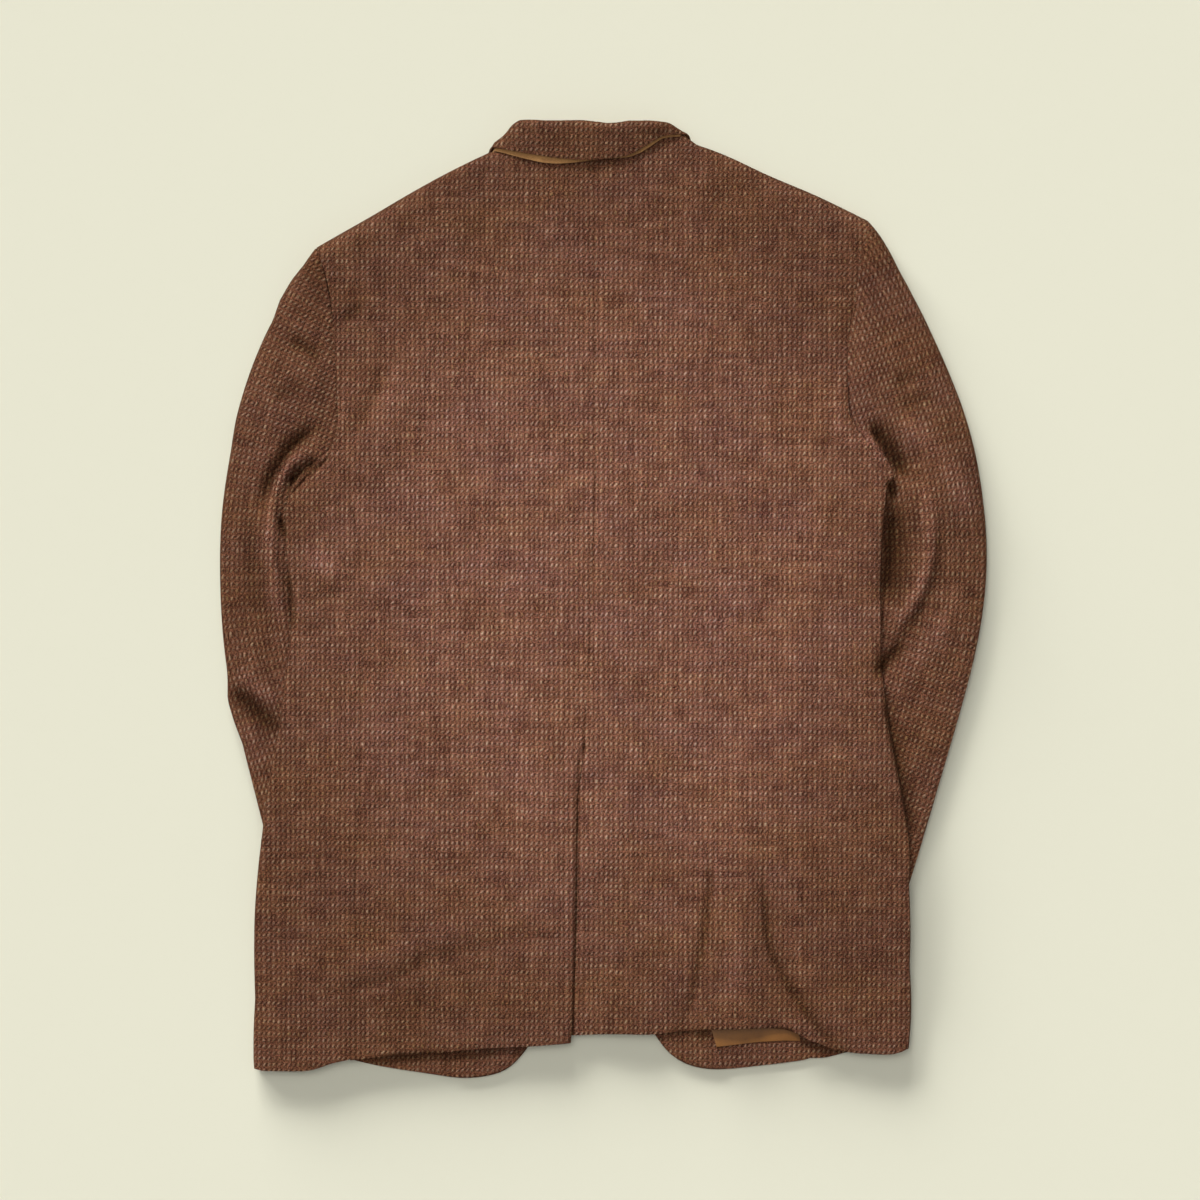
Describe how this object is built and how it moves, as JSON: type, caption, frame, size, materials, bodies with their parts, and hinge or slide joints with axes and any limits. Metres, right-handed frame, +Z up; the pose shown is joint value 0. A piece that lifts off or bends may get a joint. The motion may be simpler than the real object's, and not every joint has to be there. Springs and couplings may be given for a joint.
{
  "type": "tweed hacking jacket",
  "caption": "Brown tweed tailored jacket laid flat on its front, back up, with a centre back vent, a turned-down collar and its sleeves beside and partly under the body.",
  "frame": {"origin": "on the surface the jacket lies on, below the middle of its box", "axes": "+Y toward the collar, +X toward the wearer's right sleeve seen back up, +Z up from the surface"},
  "size_m": [0.6658, 0.8324, 0.0276],
  "materials": {
    "tweed": "woven wool tweed, rust brown with beige flecks",
    "melton": "ochre wool melton, felted",
    "lining": "ochre twill lining, slight sheen",
    "horn": "dark polished horn"
  },
  "bodies": {
    "root": {"back_left": "tweed", "back_right": "tweed", "side_left": "tweed", "side_right": "tweed", "front_left": "tweed", "front_right": "tweed", "facing_left": "tweed", "facing_right": "tweed", "lapel_left": "tweed", "lapel_right": "tweed", "top_sleeve_left": "tweed", "top_sleeve_right": "tweed", "under_sleeve_left": "tweed", "under_sleeve_right": "tweed", "collar": "tweed", "under_collar": "melton", "lining_right": "lining", "button_1": "horn", "button_2": "horn", "button_3": "horn"}
  },
  "joints": []
}
